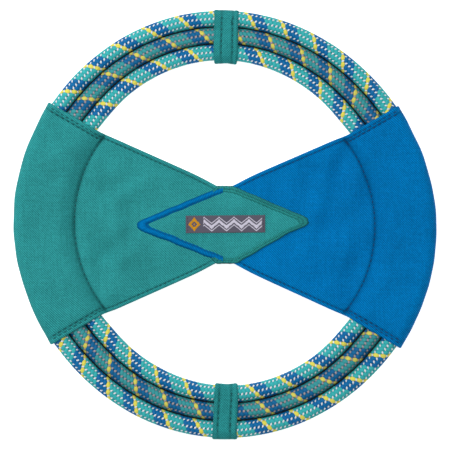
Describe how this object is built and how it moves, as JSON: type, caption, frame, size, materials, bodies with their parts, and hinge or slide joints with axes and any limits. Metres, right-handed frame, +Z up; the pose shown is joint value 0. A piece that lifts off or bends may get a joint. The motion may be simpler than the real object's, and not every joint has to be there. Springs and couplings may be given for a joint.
{
  "type": "flying ring",
  "caption": "Soft flying ring: braided rope loops side by side, fabric wings that cross at the middle, and strap bindings.",
  "frame": {"origin": "under the ring's centre, on the surface it rests on", "axes": "+Z up through the front face, +X towards the wing that lies over the other, +Y towards the upper strap"},
  "size_m": [0.2394, 0.2394, 0.011],
  "materials": {
    "bright_sheath": "braided polyester, teal, blue, yellow and white yarns",
    "muted_sheath": "braided polyester, teal, blue, yellow and grey yarns",
    "rope_core": "twisted nylon core strands",
    "whipping_twine": "waxed twine",
    "groove_thread": "black bonded thread",
    "teal_cloth": "coated woven pack cloth",
    "blue_cloth": "coated woven pack cloth",
    "teal_thread": "bonded sewing thread",
    "blue_thread": "bonded sewing thread",
    "label_weave": "fine woven label tape",
    "label_thread": "bonded sewing thread"
  },
  "bodies": {
    "root": {"outer_rope_sheath": "bright_sheath", "middle_rope_sheath": "muted_sheath", "inner_rope_sheath": "bright_sheath", "outer_rope_core": "rope_core", "middle_rope_core": "rope_core", "inner_rope_core": "rope_core", "outer_rope_whipping": "whipping_twine", "middle_rope_whipping": "whipping_twine", "inner_rope_whipping": "whipping_twine", "outer_groove_thread": "groove_thread", "inner_groove_thread": "groove_thread", "left_wing_panel": "teal_cloth", "right_wing_panel": "blue_cloth", "upper_strap": "teal_cloth", "lower_strap": "teal_cloth", "front_patch": "teal_cloth", "back_patch": "teal_cloth", "woven_label": "label_weave", "left_wing_edge_stitching": "teal_thread", "left_wing_arc_stitching": "teal_thread", "right_wing_edge_stitching": "blue_thread", "right_wing_arc_stitching": "blue_thread", "upper_strap_stitching": "teal_thread", "lower_strap_stitching": "teal_thread", "front_patch_stitching": "teal_thread", "back_patch_stitching": "teal_thread", "label_stitching": "label_thread"}
  },
  "joints": []
}
